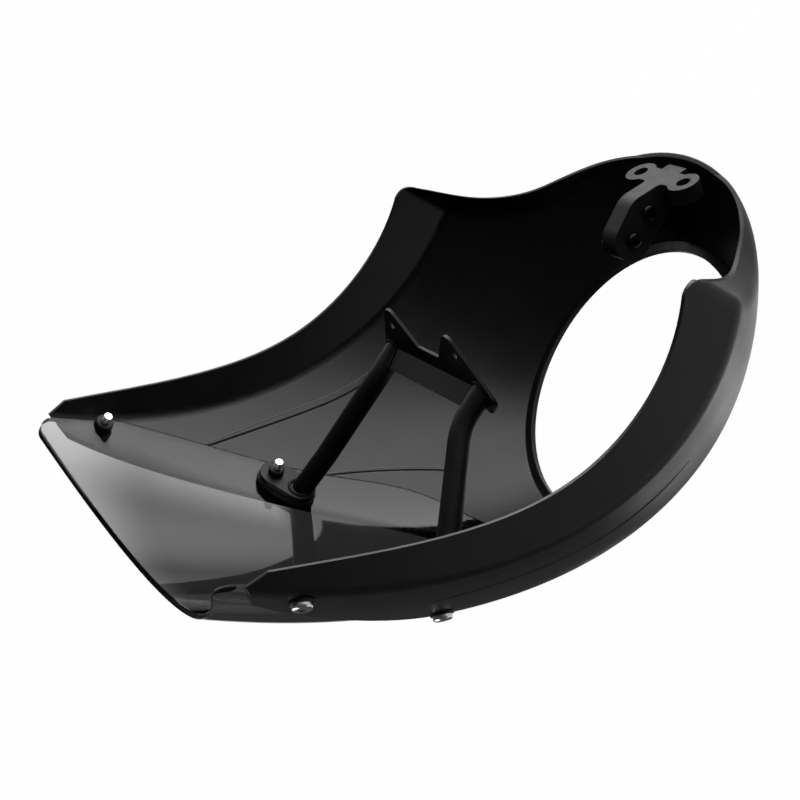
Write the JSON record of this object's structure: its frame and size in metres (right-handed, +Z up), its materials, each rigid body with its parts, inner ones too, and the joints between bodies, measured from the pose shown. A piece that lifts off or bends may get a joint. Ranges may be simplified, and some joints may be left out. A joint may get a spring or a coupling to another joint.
{
  "type": "motorcycle headlight fairing",
  "caption": "Black bullet-shaped headlight fairing with a round lamp opening, a smoked windscreen and brackets for the fork clamps.",
  "frame": {"origin": "centre of the headlight opening, in the plane of its front edge", "axes": "+X to the rider's right, +Y forward along the headlight axis, +Z up as on the bike"},
  "size_m": [0.338, 0.284, 0.3631],
  "materials": {
    "shell_plastic": "satin moulded black",
    "smoked_screen": "smoked clear sheet, polished",
    "coated_steel": "black powder coat",
    "cast_bracket": "satin black over a casting",
    "bright_screw": "bright plated",
    "black_fastener": "black oxide",
    "black_rubber": "moulded rubber"
  },
  "bodies": {
    "root": {"bracket_nut_lower": "black_fastener", "bracket_nut_upper": "black_fastener", "bracket_screw_lower": "black_fastener", "bracket_screw_upper": "black_fastener", "cross_bar": "coated_steel", "fairing_shell": "shell_plastic", "inner_collar_left": "black_rubber", "inner_collar_right": "black_rubber", "inner_screw_left": "bright_screw", "inner_screw_right": "bright_screw", "inner_washer_left": "black_rubber", "inner_washer_right": "black_rubber", "lower_bracket": "cast_bracket", "lug_pad_left": "black_rubber", "lug_pad_right": "black_rubber", "mount_plate": "coated_steel", "outer_collar_left": "black_rubber", "outer_collar_right": "black_rubber", "outer_screw_left": "bright_screw", "outer_screw_right": "bright_screw", "outer_washer_left": "black_rubber", "outer_washer_right": "black_rubber", "support_tube_left": "coated_steel", "support_tube_right": "coated_steel", "tube_lug_left": "coated_steel", "tube_lug_right": "coated_steel", "windscreen": "smoked_screen"}
  },
  "joints": []
}
